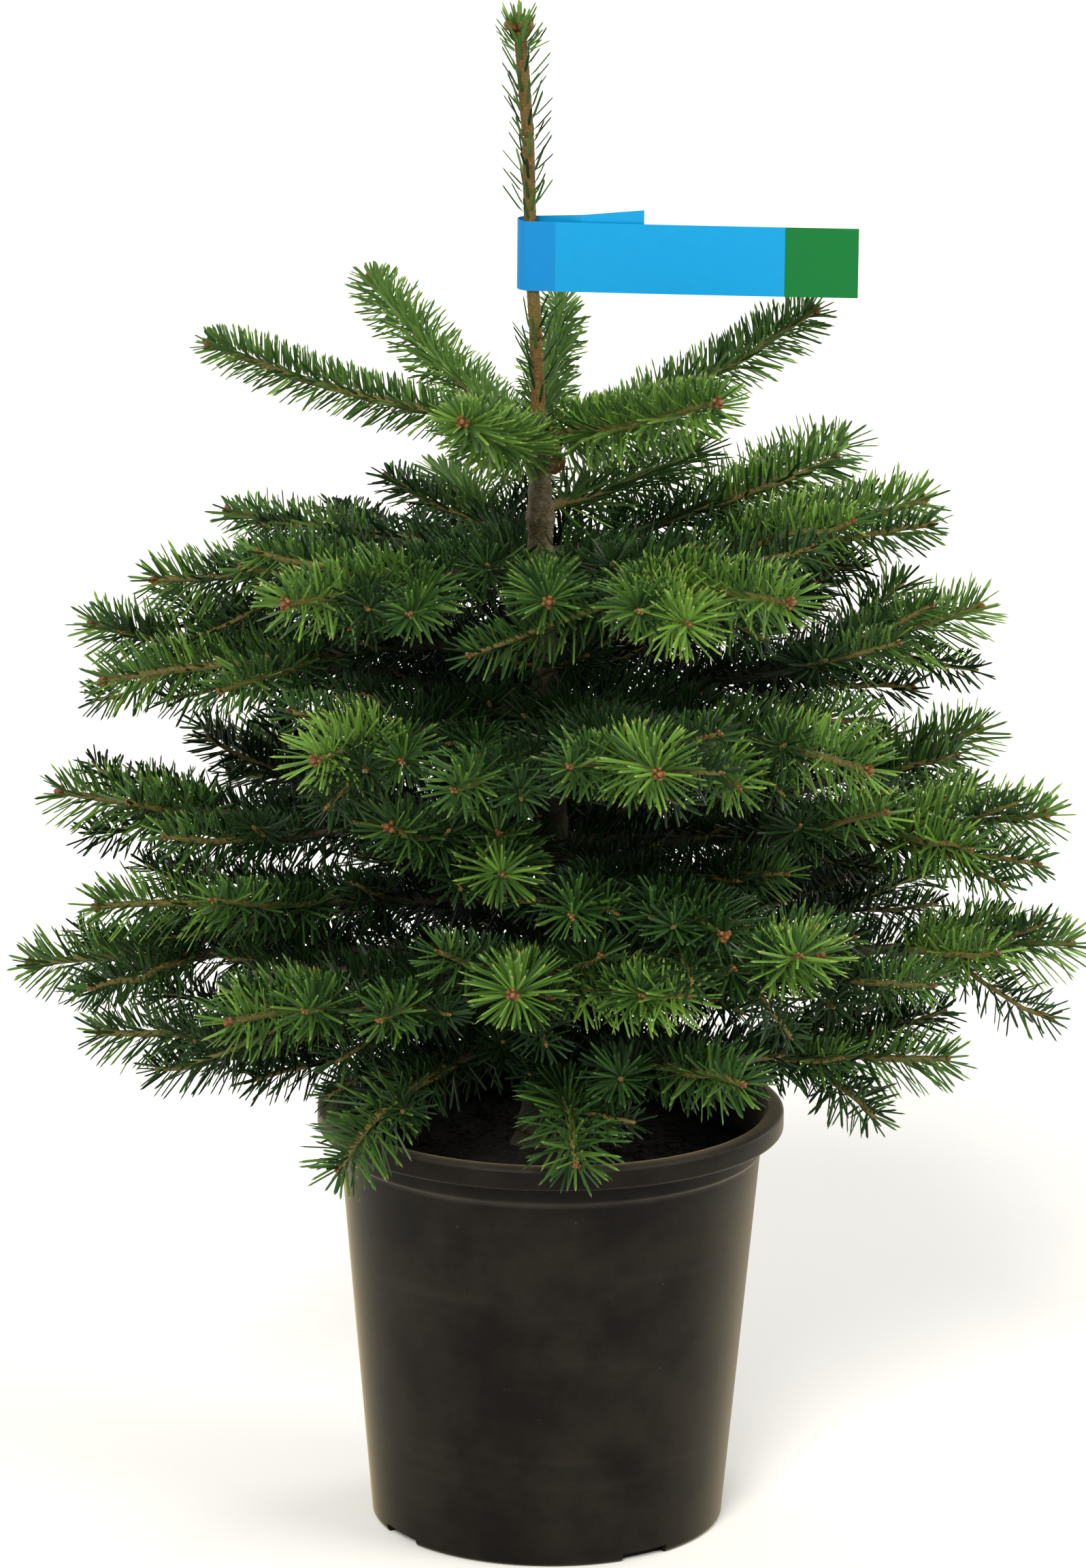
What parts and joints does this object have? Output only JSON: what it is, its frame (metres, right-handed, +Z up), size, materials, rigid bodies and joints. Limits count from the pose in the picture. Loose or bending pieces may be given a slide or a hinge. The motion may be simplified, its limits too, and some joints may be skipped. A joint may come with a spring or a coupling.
{
  "type": "potted nordmann fir",
  "caption": "Young fir tree with flat tiers of needled boughs and a bare leader, growing in a round black nursery pot, with a blank strip tag.",
  "frame": {"origin": "centre of the pot's flat underside, on the ground", "axes": "+Z up the trunk, +X to the right in the reference view, +Y away from the viewer"},
  "size_m": [0.5378, 0.4665, 0.78],
  "materials": {
    "pot_plastic": "satin",
    "compost": "matte",
    "trunk_bark": "matte",
    "bough_bark": "matte",
    "needles": "satin",
    "tag_plastic": "satin"
  },
  "bodies": {
    "root": {"pot": "pot_plastic", "compost": "compost", "trunk": "trunk_bark", "tag": "tag_plastic", "foliage_top_1": "needles", "foliage_top_2": "needles", "foliage_top_3": "needles", "foliage_top_4": "needles", "foliage_top_5": "needles", "foliage_top_6": "needles", "foliage_single_high_1": "needles", "foliage_upper_1": "needles", "foliage_upper_2": "needles", "foliage_upper_3": "needles", "foliage_upper_4": "needles", "foliage_upper_5": "needles", "foliage_upper_6": "needles", "foliage_upper_7": "needles", "foliage_upper_8": "needles", "foliage_single_mid_1": "needles", "foliage_middle_1": "needles", "foliage_middle_2": "needles", "foliage_middle_3": "needles", "foliage_middle_4": "needles", "foliage_middle_5": "needles", "foliage_middle_6": "needles", "foliage_middle_7": "needles", "foliage_lower_1": "needles", "foliage_lower_2": "needles", "foliage_lower_3": "needles", "foliage_lower_4": "needles", "foliage_lower_5": "needles", "foliage_lower_6": "needles", "foliage_lower_7": "needles", "foliage_single_low_1": "needles", "foliage_broad_1": "needles", "foliage_broad_2": "needles", "foliage_broad_3": "needles", "foliage_broad_4": "needles", "foliage_broad_5": "needles", "foliage_broad_6": "needles", "foliage_broad_7": "needles", "foliage_skirt_1": "needles", "foliage_skirt_2": "needles", "foliage_skirt_3": "needles", "foliage_skirt_4": "needles", "foliage_skirt_5": "needles", "foliage_skirt_6": "needles", "foliage_skirt_7": "needles", "bough_middle_1": "bough_bark", "bough_middle_6": "bough_bark", "bough_lower_1": "bough_bark", "bough_lower_2": "bough_bark", "bough_lower_3": "bough_bark", "bough_lower_4": "bough_bark", "bough_lower_5": "bough_bark", "bough_broad_1": "bough_bark", "bough_broad_2": "bough_bark", "bough_broad_3": "bough_bark", "bough_broad_7": "bough_bark"}
  },
  "joints": []
}
